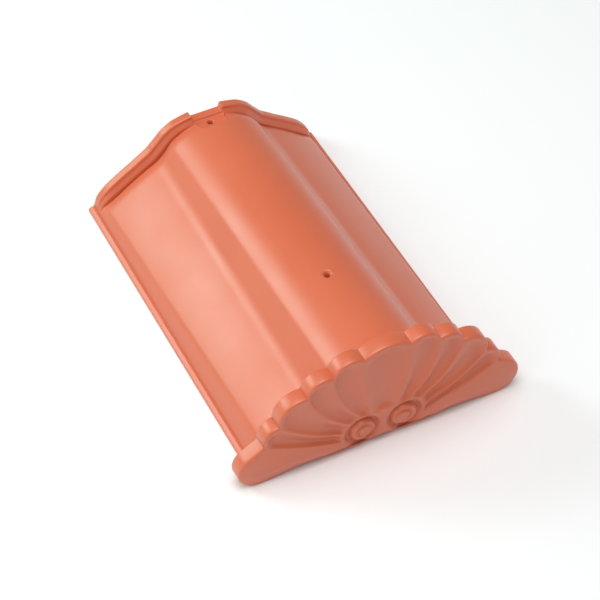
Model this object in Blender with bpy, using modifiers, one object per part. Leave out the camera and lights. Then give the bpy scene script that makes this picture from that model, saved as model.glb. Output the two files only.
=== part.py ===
"""Hip starter tile: the first tile of a hip, one piece of pressed and fired clay.

A three-lobed vault, slightly wider at the eaves, runs along +Y. A shell-shaped plate with a
scalloped rim, nine fluted petals, two ears and two volutes closes its eaves end, which faces -Y. The
head end at +Y has a recessed channel and a raised weather rib. Two nail holes go through the
crown, one of them in a flat pad that interrupts the rib. The tile stands on the floor, z = 0.
"""

import math

import bmesh
import bpy
import numpy as np
from mathutils import Matrix

# Driving dimensions of the vault, in metres and degrees, at the head unless named for the eaves
LENGTH = 0.380
HEAD_WIDTH = 0.252
EAVES_WIDTH = 0.2620
CROWN_HEIGHT = 0.097
EAVES_CROWN_HEIGHT = 0.117
WALL = 0.012
CROWN_RADIUS = 0.065
EAVES_CROWN_RADIUS = 0.068
CROWN_EDGE_SLOPE = 42.0
CROWN_EDGE_RADIUS = 0.019
FLANK_SLOPE = 58.0
FLANK_LENGTH = 0.009
EAVES_FLANK_LENGTH = 0.024
VALLEY_RADIUS = 0.036
SHOULDER_START_SLOPE = 31.0
SHOULDER_END_SLOPE = 43.0
SHOULDER_EDGE_RADIUS = 0.021
SIDE_SLOPE = 69.0

# Foot flange along each bottom edge
FLANGE_HEIGHT = 0.0065
FLANGE_REACH = 0.0055
FLANGE_FALL = 0.0015
FOOT_GROOVE = 0.0010

# Head: bevelled body edge, channel and two-step weather rib, distances run back from the head end
BEVEL_START = 0.0245
BEVEL_WIDTH = 0.0085
BEVEL_DEPTH = 0.0030
CHANNEL_DEPTH = 0.0070
CHANNEL_END = 0.0130
LEDGE_WIDTH = 0.0045
LEDGE_DROP = 0.0055
RIB_ROUNDING = 0.0018
RIB_DRAFT = 0.0006
RIB_FADE_HEIGHT = 0.026
INNER_STEP = 0.0040
INNER_STEP_START = 0.040
INNER_STEP_END = 0.026

# The rib's rise over the body, at shares of the crown's height
RIB_RISE_SHARES = (0.18, 0.33, 0.49, 0.67, 0.79, 0.90, 1.00)
RIB_RISES = (0.0070, 0.0050, 0.0043, 0.0065, 0.0047, 0.0037, -0.0005)

# Nail pad and nail holes
PAD_WIDTH = 0.033
PAD_FRONT = 0.0305
PAD_SINK = 0.0090
PAD_CORNER = 0.010
LIP_DEPTH = 0.0095
LIP_STEP = 0.0017
NAIL_HOLE = 0.0055
NAIL_SINK = 0.0090
NAIL_SINK_DEPTH = 0.0018
PAD_HOLE_SETBACK = 0.0165
CROWN_HOLE_FROM_EAVES = 0.1180

# Shell plate: outline
PLATE_WIDTH = 0.298
PLATE_THICKNESS = 0.016
PLATE_OVERLAP = 0.006
RIM_RADIUS = 0.138
RIM_CENTRE_DROP = 0.012
CUSP_ANGLES = (10.0, 23.8, 36.6, 52.6, 63.6)
LOBE_BULGE = 0.25
CENTRE_LOBE_BULGE = 0.16
EAR_RADIUS = 0.0215
ARCH_HEIGHT = 0.0040
ARCH_START = 0.042
BOTTOM_NOTCH = 0.0035
BOTTOM_NOTCH_REACH = 0.011

# Shell plate: relief, hollow flutes between sharp creases and a full band below the last crease
EDGE_ROUNDING = 0.0030
FLUTE_DEPTH = 0.0042
FLUTE_SHARE = 0.24
FLUTE_START = 0.0015
FLUTE_END = 0.0130
FLUTE_LEAN = 1.6
FLUTE_FADE = 0.0070
BAND_FULLNESS = 0.06
BAND_BOW = -0.0050
RIM_LEAN = 0.0036
BOTTOM_EASE = 0.016
CREASE_BOWS = (0.003, 0.007, 0.006, 0.004, 0.001)

# Volutes: a low button in a ring groove, with a scroll cut into the button
VOLUTE_SPACING = 0.0445
VOLUTE_HEIGHT = 0.0260
VOLUTE_RADIUS = 0.0200
GROOVE_DEPTH = 0.0042
GROOVE_RADIUS = 0.0156
GROOVE_WIDTH = 0.0026
BUTTON_RISE = 0.0016
BUTTON_RADIUS = 0.0126
BUTTON_EDGE = 0.0030
SCROLL_DEPTH = 0.0020
SCROLL_PITCH = 0.0085
SCROLL_WIDTH = 0.0019
SCROLL_PHASE = 0.65
SCROLL_START = 0.0036
SCROLL_FADE = 0.0024
VOLUTE_FIRST_CREASE = -20.0
VOLUTE_LAST_CREASE = 124.0

# Fineness of the faceting
DEGREES_PER_FACET = 9.0
FACETS_PER_LOBE = 8
FACETS_PER_EAR = 9
FACETS_PER_ARCH = 10
EDGE_RINGS = 3
PETAL_RINGS = 9
VOLUTE_RINGS = 11
HOLE_SEGMENTS = 24
CLAY_COLOUR = (0.78, 0.23, 0.10, 1.0)
CLAY_ROUGHNESS = 0.42


def smooth(value):
    """The smooth step: 0 below 0, 1 above 1, 3t^2 - 2t^3 between them."""
    t = np.clip(value, 0.0, 1.0)
    return t * t * (3.0 - 2.0 * t)


def crown_height(y):
    """The height of the vault's crown at y."""
    return EAVES_CROWN_HEIGHT + (CROWN_HEIGHT - EAVES_CROWN_HEIGHT) * y / LENGTH


def arc_points(start, slope_from, slope_to, radius):
    """Points and outward normals along an arc from one downward slope to another.

    A point of slope s on an arc has the normal (sin s, cos s) and lies that normal times the
    radius from the arc's centre, on the outer side where the slope grows and the inner side
    where it falls.
    """
    steps = max(2, round(abs(slope_to - slope_from) / DEGREES_PER_FACET))
    slopes = np.radians(np.linspace(slope_from, slope_to, steps + 1))
    normals = np.stack([np.sin(slopes), np.cos(slopes)], axis=1)
    side = 1.0 if slope_to > slope_from else -1.0
    points = np.asarray(start) + side * radius * (normals - normals[0])
    return points, normals


def straight_end(start, slope, length):
    """The end of a straight run that falls at a slope."""
    angle = math.radians(slope)
    return np.asarray(start) + length * np.array([math.cos(angle), -math.sin(angle)])


def half_section(width, top_height, crown_radius, flank_length):
    """Outer half section: crown arc, flank, valley, shoulder and side, with outward normals.

    The shoulder's radius and the side's length are solved so that the section ends where the
    foot flange starts, whatever the width and the height.
    """
    crown, crown_n = arc_points((0.0, top_height), 0.0, CROWN_EDGE_SLOPE, crown_radius)
    edge, edge_n = arc_points(crown[-1], CROWN_EDGE_SLOPE, FLANK_SLOPE, CROWN_EDGE_RADIUS)
    flank_end = straight_end(edge[-1], FLANK_SLOPE, flank_length)
    valley, valley_n = arc_points(flank_end, FLANK_SLOPE, SHOULDER_START_SLOPE, VALLEY_RADIUS)
    turn, turn_n = arc_points((0.0, 0.0), SHOULDER_END_SLOPE, SIDE_SLOPE, SHOULDER_EDGE_RADIUS)
    unit, unit_n = arc_points((0.0, 0.0), SHOULDER_START_SLOPE, SHOULDER_END_SLOPE, 1.0)
    foot = np.array([width / 2 - FLANGE_REACH, FLANGE_HEIGHT])
    side = straight_end((0.0, 0.0), SIDE_SLOPE, 1.0)
    gap = foot - valley[-1] - turn[-1]
    shoulder_radius, side_length = np.linalg.solve(np.stack([unit[-1], side], axis=1), gap)
    shoulder = valley[-1] + shoulder_radius * unit
    turn = shoulder[-1] + turn
    side_end = turn[-1] + side_length * side
    points = np.vstack([crown, edge[1:], valley, shoulder[1:], turn[1:], [side_end]])
    normals = np.vstack([crown_n, edge_n[1:], valley_n, unit_n[1:], turn_n[1:], [turn_n[-1]]])
    return points, normals


def head_profile():
    """Stations of the head: distance from its end, outward offset and share of the rib's rise."""
    bevel_end = BEVEL_START - BEVEL_WIDTH
    upper_wall = CHANNEL_END - LEDGE_WIDTH
    return [
        (BEVEL_START, 0.0, 0.0),
        (BEVEL_START - BEVEL_WIDTH / 3, -0.15 * BEVEL_DEPTH, 0.0),
        (BEVEL_START - 2 * BEVEL_WIDTH / 3, -0.5 * BEVEL_DEPTH, 0.0),
        (bevel_end, -BEVEL_DEPTH, 0.0),
        (bevel_end - RIB_DRAFT, -CHANNEL_DEPTH, 0.0),
        (CHANNEL_END + RIB_DRAFT, -CHANNEL_DEPTH, 0.0),
        (CHANNEL_END, -LEDGE_DROP, 1.0),
        (upper_wall + RIB_DRAFT, -LEDGE_DROP, 1.0),
        (upper_wall, -RIB_ROUNDING, 1.0),
        (upper_wall - RIB_ROUNDING, 0.0, 1.0),
        (RIB_ROUNDING, 0.0, 1.0),
        (0.0, -RIB_ROUNDING, 1.0),
    ]


def tile_stations():
    """Every station along the vault as (y, outward offset, share of the rib's rise, inner step)."""
    front = PLATE_THICKNESS - PLATE_OVERLAP
    stations = [(front, 0.0, 0.0, 0.0), (LENGTH - INNER_STEP_START, 0.0, 0.0, 0.0)]
    for back, offset, rib in head_profile():
        run = (INNER_STEP_START - back) / (INNER_STEP_START - INNER_STEP_END)
        stations.append((LENGTH - back, offset, rib, INNER_STEP * float(smooth(run))))
    return stations


def section_ring(head, eaves, y, offset, rib, inner_step):
    """One half section of the vault at y, from the outer crown round the foot to the inner crown."""
    share = 1.0 - y / LENGTH
    points = head[0] + (eaves[0] - head[0]) * share
    normals = head[1] + (eaves[1] - head[1]) * share
    foot_x = (HEAD_WIDTH + (EAVES_WIDTH - HEAD_WIDTH) * share) / 2
    fade = smooth((points[:, 1] - FLANGE_HEIGHT) / RIB_FADE_HEIGHT)
    rise = np.interp(points[:, 1] / crown_height(y), RIB_RISE_SHARES, RIB_RISES)
    outward = (offset + rib * rise) * fade
    outside = points + normals * outward[:, None]
    inside = points - normals * (WALL + inner_step * fade)[:, None]
    reach = foot_x - FLANGE_REACH
    flange = np.array([
        (reach + FOOT_GROOVE, FLANGE_HEIGHT - FOOT_GROOVE),
        (reach + 2 * FOOT_GROOVE, FLANGE_HEIGHT),
        (foot_x, FLANGE_HEIGHT - FLANGE_FALL),
        (foot_x, 0.0),
    ])
    inner_foot = inside[-1:] * [1.0, 0.0]
    half = np.vstack([outside, flange, inner_foot, inside[::-1]])
    half[0, 0] = 0.0
    half[-1, 0] = 0.0
    return np.column_stack([half[:, 0], np.full(len(half), y), half[:, 1]])


def grid_faces(rows, columns, first=0):
    """Quads of a grid of rows by columns, numbered row by row from a first vertex."""
    faces = []
    for row in range(rows - 1):
        for column in range(columns - 1):
            a = first + row * columns + column
            faces.append((a, a + 1, a + columns + 1, a + columns))
    return faces


def mesh_object(name, vertices, faces, collection):
    """A mesh object from vertices and faces, with doubles merged and normals facing out."""
    mesh = bpy.data.meshes.new(name)
    mesh.from_pydata([tuple(map(float, v)) for v in vertices], [], faces)
    work = bmesh.new()
    work.from_mesh(mesh)
    bmesh.ops.remove_doubles(work, verts=work.verts, dist=0.00001)
    bmesh.ops.recalc_face_normals(work, faces=work.faces)
    work.to_mesh(mesh)
    work.free()
    tile = bpy.data.objects.new(name, mesh)
    collection.objects.link(tile)
    return tile


def add_mirror(tile):
    """Mirror a half that is open at x = 0."""
    mirror = tile.modifiers.new("Mirror", "MIRROR")
    mirror.use_axis = (True, False, False)
    mirror.merge_threshold = 0.00002
    mirror.use_mirror_merge = True


def make_vault(collection):
    """The vault: a loft of half sections, capped at both ends and mirrored."""
    head = half_section(HEAD_WIDTH, CROWN_HEIGHT, CROWN_RADIUS, FLANK_LENGTH)
    eaves = half_section(EAVES_WIDTH, EAVES_CROWN_HEIGHT, EAVES_CROWN_RADIUS, EAVES_FLANK_LENGTH)
    rings = [section_ring(head, eaves, *station) for station in tile_stations()]
    columns = len(rings[0])
    faces = grid_faces(len(rings), columns)
    outer = len(head[0])
    last = (len(rings) - 1) * columns
    for start in (0, last):
        for i in range(outer - 1):
            faces.append((start + i, start + i + 1, start + columns - 2 - i, start + columns - 1 - i))
        faces.append(tuple(start + i for i in range(outer - 1, columns - outer + 1)))
    vault = mesh_object("hip_starter_tile", np.vstack(rings), faces, collection)
    add_mirror(vault)
    return vault


def arc_between(start, end, bulge, steps):
    """A circular arc between two points whose height is bulge times the chord, to its left."""
    start = np.asarray(start, dtype=float)
    end = np.asarray(end, dtype=float)
    chord = end - start
    length = np.hypot(*chord)
    height = bulge * length
    radius = (length * length / 4 + height * height) / (2 * height)
    half_angle = math.asin(length / 2 / radius)
    along = chord / length
    left = np.array([-along[1], along[0]])
    centre = (start + end) / 2 + left * (height - radius)
    angles = np.linspace(-half_angle, half_angle, steps + 1)
    return centre + radius * (np.outer(np.sin(angles), along) + np.outer(np.cos(angles), left))


def cusps():
    """The notches between the lobes, on the rim circle, from the crown outwards."""
    angles = np.radians(CUSP_ANGLES)
    return RIM_RADIUS * np.stack([np.sin(angles), np.cos(angles)], axis=1) - [0.0, RIM_CENTRE_DROP]


def ear_outline(cusp):
    """The ear: a straight run from the last cusp, tangent to a round end that touches the floor."""
    centre = np.array([PLATE_WIDTH / 2 - EAR_RADIUS, EAR_RADIUS])
    to_cusp = cusp - centre
    reach = np.hypot(*to_cusp)
    tangent = math.atan2(to_cusp[1], to_cusp[0]) - math.acos(min(1.0, EAR_RADIUS / reach))
    angles = np.linspace(tangent, -math.pi / 2, FACETS_PER_EAR)
    round_end = centre + EAR_RADIUS * np.stack([np.cos(angles), np.sin(angles)], axis=1)
    return np.vstack([cusp, round_end])


def columns_over_axis():
    """Columns from the middle of the plate to above the volute's centre."""
    return FACETS_PER_LOBE // 2 + FACETS_PER_LOBE


def bottom_outline():
    """The lower edge: an arch from ear to volute, the volute's flat and half the middle notch."""
    ear_x = PLATE_WIDTH / 2 - EAR_RADIUS
    arch_x = np.linspace(ear_x, ARCH_START, FACETS_PER_ARCH + 1)
    share = (arch_x - ARCH_START) / (ear_x - ARCH_START)
    arch = np.stack([arch_x, ARCH_HEIGHT * np.sin(math.pi * share) ** 2], axis=1)
    notch_x = np.linspace(ARCH_START, 0.0, columns_over_axis() + 1)
    rise = smooth(1.0 - notch_x / BOTTOM_NOTCH_REACH)
    notch = np.stack([notch_x, BOTTOM_NOTCH * rise], axis=1)
    return arch, notch


def lower_edge():
    """The whole lower edge of the half plate, from its middle to the ear's farthest point."""
    arch, notch = bottom_outline()
    angles = np.linspace(-math.pi / 2, 0.0, FACETS_PER_EAR)
    middle = np.array([PLATE_WIDTH / 2 - EAR_RADIUS, EAR_RADIUS])
    ear = middle + EAR_RADIUS * np.stack([np.cos(angles), np.sin(angles)], axis=1)
    return np.vstack([notch[::-1], arch[-2::-1], ear[1:]])


def volute_arc(angle_from, angle_to, steps):
    """Points on the volute's outer circle between two angles, from the x axis."""
    angles = np.radians(np.linspace(angle_from, angle_to, steps + 1))
    centre = np.array([VOLUTE_SPACING / 2, VOLUTE_HEIGHT])
    return centre + VOLUTE_RADIUS * np.stack([np.cos(angles), np.sin(angles)], axis=1)


def plate_columns():
    """The half plate's columns, from the crown round the ear to the bottom middle.

    Each column has a point on the outline, a point on the outline of the two volutes, the bow
    of the line between them and its place across its petal, with the petal's two widths.
    """
    notches = cusps()
    arrivals = np.linspace(VOLUTE_LAST_CREASE, VOLUTE_FIRST_CREASE, len(notches))
    top = VOLUTE_HEIGHT + VOLUTE_RADIUS
    first = volute_arc(arrivals[0], arrivals[0], 1)[0]
    columns = []

    half = FACETS_PER_LOBE // 2
    lobe = arc_between(notches[0] * [-1, 1], notches[0], CENTRE_LOBE_BULGE, FACETS_PER_LOBE)[half:]
    inner = np.stack([np.linspace(0.0, first[0], half + 1), np.linspace(top, first[1], half + 1)], axis=1)
    widths = (2 * notches[0][0], 2 * first[0])
    for i in range(half + 1):
        columns.append((lobe[i], inner[i], CREASE_BOWS[0] * i / half, 0.5 + 0.5 * i / half, widths))

    for k in range(len(notches) - 1):
        lobe = arc_between(notches[k], notches[k + 1], LOBE_BULGE, FACETS_PER_LOBE)
        inner = volute_arc(arrivals[k], arrivals[k + 1], FACETS_PER_LOBE)
        widths = (np.hypot(*(lobe[-1] - lobe[0])), np.hypot(*(inner[-1] - inner[0])))
        for i in range(1, FACETS_PER_LOBE + 1):
            share = i / FACETS_PER_LOBE
            bow = CREASE_BOWS[k] + (CREASE_BOWS[k + 1] - CREASE_BOWS[k]) * share
            columns.append((lobe[i], inner[i], bow, share ** FLUTE_LEAN, widths))

    ear = ear_outline(notches[-1])
    arch, notch = bottom_outline()
    band = np.vstack([ear[1:], arch[1:], notch[1:]])
    under = len(notch) - 1
    ring = volute_arc(VOLUTE_FIRST_CREASE, -90.0, len(band) - under)
    flat = np.stack([
        np.linspace(VOLUTE_SPACING / 2, 0.0, under + 1),
        np.full(under + 1, VOLUTE_HEIGHT - VOLUTE_RADIUS),
    ], axis=1)
    inner = np.vstack([ring[1:], flat[1:]])
    widths = (2 * EAR_RADIUS, VOLUTE_HEIGHT)
    for i in range(len(band)):
        share = min(1.0, (i + 1) / (FACETS_PER_EAR + FACETS_PER_ARCH // 2))
        rise = float(smooth((i + 1) / FACETS_PER_EAR))
        bow = CREASE_BOWS[-1] + (BAND_BOW - CREASE_BOWS[-1]) * rise
        columns.append((band[i], inner[i], bow, 0.5 * share, widths))
    return columns


def volute_height(points):
    """Height of the volute: button less ring groove less scroll.

    Each groove is a bell curve of the distance to its line. The scroll's line is a spiral whose
    radius grows by one pitch in every turn.
    """
    dx = np.abs(points[:, 0]) - VOLUTE_SPACING / 2
    dz = points[:, 1] - VOLUTE_HEIGHT
    radius = np.hypot(dx, dz)
    turn = np.arctan2(dz, dx) / (2 * math.pi)
    button = BUTTON_RISE * (1.0 - smooth((radius - BUTTON_RADIUS) / BUTTON_EDGE + 0.5))
    ring = GROOVE_DEPTH * np.exp(-(((radius - GROOVE_RADIUS) / GROOVE_WIDTH) ** 2))
    laps = radius / SCROLL_PITCH - turn - SCROLL_PHASE
    to_line = SCROLL_PITCH * (laps - np.round(laps))
    started = smooth((radius - SCROLL_START) / SCROLL_FADE)
    ended = smooth((radius - BUTTON_RADIUS) / SCROLL_FADE)
    scroll = SCROLL_DEPTH * np.exp(-((to_line / SCROLL_WIDTH) ** 2)) * started * (1.0 - ended)
    return button - ring - scroll


def plate_rings():
    """The half plate's rings, from the back outline over the rim and the petals to the volutes."""
    columns = plate_columns()
    outline = np.array([c[0] for c in columns])
    inner = np.array([c[1] for c in columns])
    bows = np.array([c[2] for c in columns])
    across = np.array([c[3] for c in columns])
    widths = np.array([c[4] for c in columns])
    is_band = np.arange(len(columns)) > FACETS_PER_LOBE // 2 + FACETS_PER_LOBE * (len(CUSP_ANGLES) - 1)
    path = inner - outline
    length = np.hypot(path[:, 0], path[:, 1])
    left = np.stack([-path[:, 1], path[:, 0]], axis=1) / length[:, None]

    def point(v):
        return outline + v[:, None] * path + (4 * v * (1 - v) * bows)[:, None] * left

    bottom = lower_edge()

    def height(v):
        width = widths[:, 0] * (1 - v) + widths[:, 1] * v
        flute = -np.minimum(FLUTE_DEPTH, FLUTE_SHARE * width)
        inward = smooth((v * length - FLUTE_START) / (FLUTE_END - FLUTE_START))
        inward = inward * smooth((1 - v) * length / FLUTE_FADE)
        petal = np.where(is_band, BAND_FULLNESS * width, flute) * 4 * across * (1 - across) * inward
        lean = RIM_LEAN * smooth(v / 0.7)
        flat = point(v)
        above = flat[:, 1] - np.interp(flat[:, 0], bottom[:, 0], bottom[:, 1])
        return (petal + lean) * smooth(above / BOTTOM_EASE)

    rings = [np.column_stack([outline[:, 0], np.full(len(outline), PLATE_THICKNESS), outline[:, 1]])]
    for k in range(EDGE_RINGS + 1):
        angle = 0.5 * math.pi * k / EDGE_RINGS
        v = EDGE_ROUNDING * (1 - math.cos(angle)) / length
        flat = point(v)
        y = EDGE_ROUNDING * (1 - math.sin(angle)) - height(v)
        rings.append(np.column_stack([flat[:, 0], y, flat[:, 1]]))
    edge = EDGE_ROUNDING / length
    for k in range(1, PETAL_RINGS + 1):
        v = edge + (1 - edge) * k / PETAL_RINGS
        flat = point(v)
        rings.append(np.column_stack([flat[:, 0], -height(v), flat[:, 1]]))

    rim_height = height(np.ones(len(columns)))
    over = columns_over_axis()
    axis_x = np.full(len(inner), VOLUTE_SPACING / 2)
    axis_x[:over + 1] = np.linspace(0.0, VOLUTE_SPACING / 2, over + 1)
    axis_x[-over - 1:] = axis_x[over::-1]
    axis = np.column_stack([axis_x, np.full(len(inner), VOLUTE_HEIGHT)])
    for k in range(1, VOLUTE_RINGS + 1):
        share = k / VOLUTE_RINGS
        flat = inner + (axis - inner) * share
        base = rim_height * (1 - smooth(4 * share)) + RIM_LEAN * smooth(4 * share)
        y = -base - volute_height(flat)
        rings.append(np.column_stack([flat[:, 0], y, flat[:, 1]]))
    return rings


def make_plate(rings, collection):
    """The shell plate: rings from its back outline to the volutes, a flat back, mirrored."""
    for ring in rings:
        ring[0, 0] = 0.0
        ring[-1, 0] = 0.0
    columns = len(rings[0])
    faces = grid_faces(len(rings), columns)
    faces.append(tuple(range(columns)))
    plate = mesh_object("shell_plate", np.vstack(rings), faces, collection)
    add_mirror(plate)
    return plate


def make_pad_cutter(collection):
    """The pocket of the nail pad: an upright block with round front corners."""
    half = PAD_WIDTH / 2
    front = LENGTH - PAD_FRONT
    corner = np.radians(np.linspace(0.0, 90.0, 7))
    right = np.stack([
        half - PAD_CORNER + PAD_CORNER * np.cos(corner),
        front + PAD_CORNER - PAD_CORNER * np.sin(corner),
    ], axis=1)
    side = np.vstack([[(half, LENGTH - LIP_DEPTH)], right])
    ring = np.vstack([side, side[::-1] * [-1, 1]])
    count = len(ring)
    floor = CROWN_HEIGHT - PAD_SINK
    levels = [np.column_stack([ring, np.full(count, z)]) for z in (floor, 2 * CROWN_HEIGHT)]
    faces = [tuple(range(count)), tuple(range(count, 2 * count))]
    for i in range(count):
        j = (i + 1) % count
        faces.append((i, j, count + j, count + i))
    return mesh_object("pad_cutter", np.vstack(levels), faces, collection)


def make_gap_cutter(collection):
    """The block that lowers the rib to the lip behind the nail pad."""
    lip = CROWN_HEIGHT - PAD_SINK + LIP_STEP
    front = LENGTH - LIP_DEPTH - RIB_DRAFT
    back = LENGTH + LIP_DEPTH
    mesh = bpy.data.meshes.new("gap_cutter")
    work = bmesh.new()
    cube = bmesh.ops.create_cube(work, size=1.0)
    bmesh.ops.scale(work, verts=cube["verts"], vec=(PAD_WIDTH, back - front, CROWN_HEIGHT))
    middle = (0.0, (front + back) / 2, lip + CROWN_HEIGHT / 2)
    bmesh.ops.translate(work, verts=cube["verts"], vec=middle)
    work.to_mesh(mesh)
    work.free()
    cutter = bpy.data.objects.new("gap_cutter", mesh)
    collection.objects.link(cutter)
    return cutter


def make_hole_cutter(name, y, surface, collection):
    """A turned nail hole: a cone that sinks into the surface and a bore through the wall."""
    mesh = bpy.data.meshes.new(name)
    work = bmesh.new()
    depth = 3 * WALL
    bore = bmesh.ops.create_cone(
        work, cap_ends=True, segments=HOLE_SEGMENTS,
        radius1=NAIL_HOLE / 2, radius2=NAIL_HOLE / 2, depth=depth,
    )
    bmesh.ops.translate(work, verts=bore["verts"], vec=(0.0, y, surface - depth / 2 + WALL))
    work.to_mesh(mesh)
    work.free()
    cutter = bpy.data.objects.new(name, mesh)
    collection.objects.link(cutter)
    return cutter


def make_sink_cutter(name, y, surface, collection):
    """The cone that eases the edge of a nail hole."""
    mesh = bpy.data.meshes.new(name)
    work = bmesh.new()
    slope = (NAIL_SINK - NAIL_HOLE) / 2 / NAIL_SINK_DEPTH
    height = 2 * NAIL_SINK_DEPTH
    cone = bmesh.ops.create_cone(
        work, cap_ends=True, segments=HOLE_SEGMENTS,
        radius1=NAIL_HOLE / 2, radius2=NAIL_HOLE / 2 + slope * height, depth=height,
    )
    bmesh.ops.translate(work, verts=cone["verts"], vec=(0.0, y, surface))
    work.to_mesh(mesh)
    work.free()
    cutter = bpy.data.objects.new(name, mesh)
    collection.objects.link(cutter)
    return cutter


def add_boolean(tile, other, operation):
    """Join or cut with another object, exactly."""
    boolean = tile.modifiers.new(f"{operation.title()} {other.name}", "BOOLEAN")
    boolean.operation = operation
    boolean.object = other
    boolean.solver = "EXACT"
    other.hide_render = True
    other.display_type = "WIRE"


def clay_material():
    """Fired clay with a satin engobe."""
    material = bpy.data.materials.new("satin terracotta engobe")
    material.use_nodes = True
    shader = material.node_tree.nodes["Principled BSDF"]
    shader.inputs["Base Color"].default_value = CLAY_COLOUR
    shader.inputs["Roughness"].default_value = CLAY_ROUGHNESS
    shader.inputs["Metallic"].default_value = 0.0
    return material


def main():
    for thing in list(bpy.data.objects):
        bpy.data.objects.remove(thing, do_unlink=True)
    tile_collection = bpy.data.collections.new("hip starter tile")
    cutter_collection = bpy.data.collections.new("cutters and guides")
    bpy.context.scene.collection.children.link(tile_collection)
    bpy.context.scene.collection.children.link(cutter_collection)

    rings = plate_rings()
    front = min(float(ring[:, 1].min()) for ring in rings)
    tile = make_vault(tile_collection)
    plate = make_plate(rings, cutter_collection)
    pad_y = LENGTH - PAD_HOLE_SETBACK
    pad_surface = CROWN_HEIGHT - PAD_SINK
    crown_y = CROWN_HOLE_FROM_EAVES
    crown_surface = crown_height(crown_y)
    add_boolean(tile, plate, "UNION")
    add_boolean(tile, make_pad_cutter(cutter_collection), "DIFFERENCE")
    add_boolean(tile, make_gap_cutter(cutter_collection), "DIFFERENCE")
    for name, y, surface in (("pad_hole", pad_y, pad_surface), ("crown_hole", crown_y, crown_surface)):
        add_boolean(tile, make_hole_cutter(name, y, surface, cutter_collection), "DIFFERENCE")
        add_boolean(tile, make_sink_cutter(f"{name}_sink", y, surface, cutter_collection), "DIFFERENCE")

    to_frame = Matrix.Translation((0.0, -(front + LENGTH) / 2, 0.0))
    for thing in bpy.data.objects:
        thing.data.transform(to_frame)

    tile.data.shade_smooth()
    tile.data.set_sharp_from_angle(angle=math.radians(35.0))
    tile.data.materials.append(clay_material())


main()
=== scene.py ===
# %% [markdown]
# # A hip starter tile
# The lowest tile of a roof's hip: one piece of pressed and fired clay. A three-lobed vault ends in a
# shell-shaped plate with a scalloped rim, petals and two volutes, and the head has a channel, a
# weather rib and a nail pad. This lesson shapes it with numpy, as surfaces of two parameters.

# %% Load the frame
import math

import bmesh
import bpy
import numpy as np
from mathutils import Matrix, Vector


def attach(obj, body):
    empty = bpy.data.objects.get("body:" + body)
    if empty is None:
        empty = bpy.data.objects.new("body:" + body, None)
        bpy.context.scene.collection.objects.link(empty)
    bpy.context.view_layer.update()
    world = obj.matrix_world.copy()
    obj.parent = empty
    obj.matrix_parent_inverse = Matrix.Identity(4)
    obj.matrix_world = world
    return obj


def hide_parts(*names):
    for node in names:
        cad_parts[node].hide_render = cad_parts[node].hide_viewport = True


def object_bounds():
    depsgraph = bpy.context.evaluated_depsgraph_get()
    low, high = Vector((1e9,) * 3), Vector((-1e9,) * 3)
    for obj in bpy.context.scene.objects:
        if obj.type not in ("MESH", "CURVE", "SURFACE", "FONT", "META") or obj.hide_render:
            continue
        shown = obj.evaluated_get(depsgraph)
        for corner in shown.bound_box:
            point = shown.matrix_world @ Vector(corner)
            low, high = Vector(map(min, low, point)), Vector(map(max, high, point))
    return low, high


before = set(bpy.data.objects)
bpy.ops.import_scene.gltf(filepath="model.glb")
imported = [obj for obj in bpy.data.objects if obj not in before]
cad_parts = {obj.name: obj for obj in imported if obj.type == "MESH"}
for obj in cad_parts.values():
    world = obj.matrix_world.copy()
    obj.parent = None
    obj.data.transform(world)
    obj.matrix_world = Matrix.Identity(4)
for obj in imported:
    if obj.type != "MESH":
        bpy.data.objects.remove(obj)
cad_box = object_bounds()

MM = 0.001
print("nodes", list(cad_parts), "box", cad_box)

# %% [markdown]
# ## Sizes
# Every size of the tile is written once, in millimetres, with y counted from the eaves to the head.
# At the end the tile is shifted along y, so that its head end lies where the solid's does.

# %% Sizes of the vault and its head
LENGTH = 380.0
WALL = 12.0
HEAD = {"width": 252.0, "crown": 97.0, "radius": 65.0, "flank": 9.0}
EAVES = {"width": 262.0, "crown": 117.0, "radius": 68.0, "flank": 24.0}
CROWN_EDGE_SLOPE, CROWN_EDGE_RADIUS = 42.0, 19.0
FLANK_SLOPE, VALLEY_RADIUS = 58.0, 36.0
SHOULDER_START_SLOPE, SHOULDER_END_SLOPE = 31.0, 43.0
SHOULDER_EDGE_RADIUS, SIDE_SLOPE = 21.0, 69.0
FLANGE_HEIGHT, FLANGE_REACH = 6.5, 5.5
GROOVE_X, GROOVE_Z = (0.3, 0.9, 1.4, 1.9), (-0.8, -1.1, -0.7, 0.0)
FLANGE_X, FLANGE_Z = (-0.9, -0.3, 0.0, 0.0, -0.3, -1.0), (-1.8, -2.1, -2.7, -5.5, -6.2, -6.5)
BEVEL_START, BEVEL_WIDTH, BEVEL_DEPTH = 24.5, 8.5, 3.0
CHANNEL_DEPTH, CHANNEL_END = 8.5, 13.0
LEDGE_WIDTH, LEDGE_DROP, LEDGE_LEAN, RIB_DRAFT = 4.5, 5.5, 2.2, 0.6
RIB_FADE_HEIGHT = 26.0
INNER_STEP, INNER_STEP_START, INNER_STEP_END = 4.0, 40.0, 26.0
RIB_RISE_SHARES = (0.18, 0.33, 0.49, 0.67, 0.79, 0.90, 1.00)
RIB_RISES = (7.0, 5.0, 4.3, 6.5, 4.7, 3.7, -0.5)
PAD_WIDTH, PAD_FRONT, PAD_SINK, PAD_CORNER = 33.0, 30.5, 9.0, 10.0
LIP_DEPTH, LIP_STEP = 9.5, 1.7
NAIL_HOLE = 5.5
PAD_SINK_WIDTH, PAD_SINK_DEPTH = 7.4, 1.2
CROWN_SINK_WIDTH, CROWN_SINK_DEPTH = 10.0, 2.4
PAD_HOLE_SETBACK, CROWN_HOLE_FROM_EAVES = 16.5, 118.0

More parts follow.
